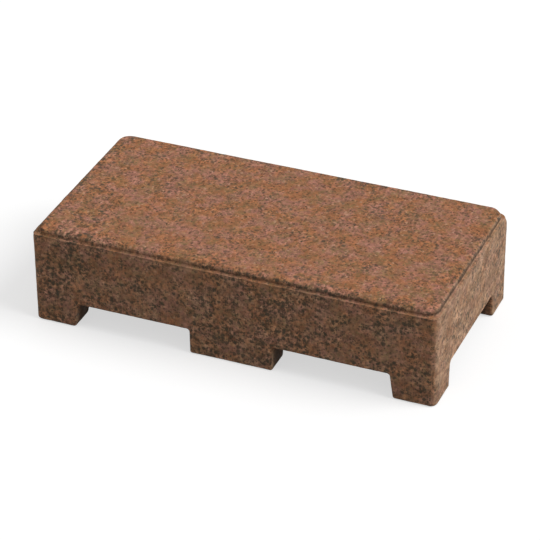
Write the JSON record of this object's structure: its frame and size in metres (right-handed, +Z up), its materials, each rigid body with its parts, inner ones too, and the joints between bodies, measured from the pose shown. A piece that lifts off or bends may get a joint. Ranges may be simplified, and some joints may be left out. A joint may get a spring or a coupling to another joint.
{
  "type": "composite paver",
  "caption": "Rectangular red-brown speckled composite paver: a solid slab with a rounded top edge on short feet, with open channels between them.",
  "frame": {"origin": "middle of the footprint, level with the soles of the feet", "axes": "+X along the length, +Y across the width, +Z up through the walking face"},
  "size_m": [0.2, 0.1, 0.05],
  "materials": {
    "granulate": "matte"
  },
  "bodies": {
    "root": {"paver": "granulate"}
  },
  "joints": []
}
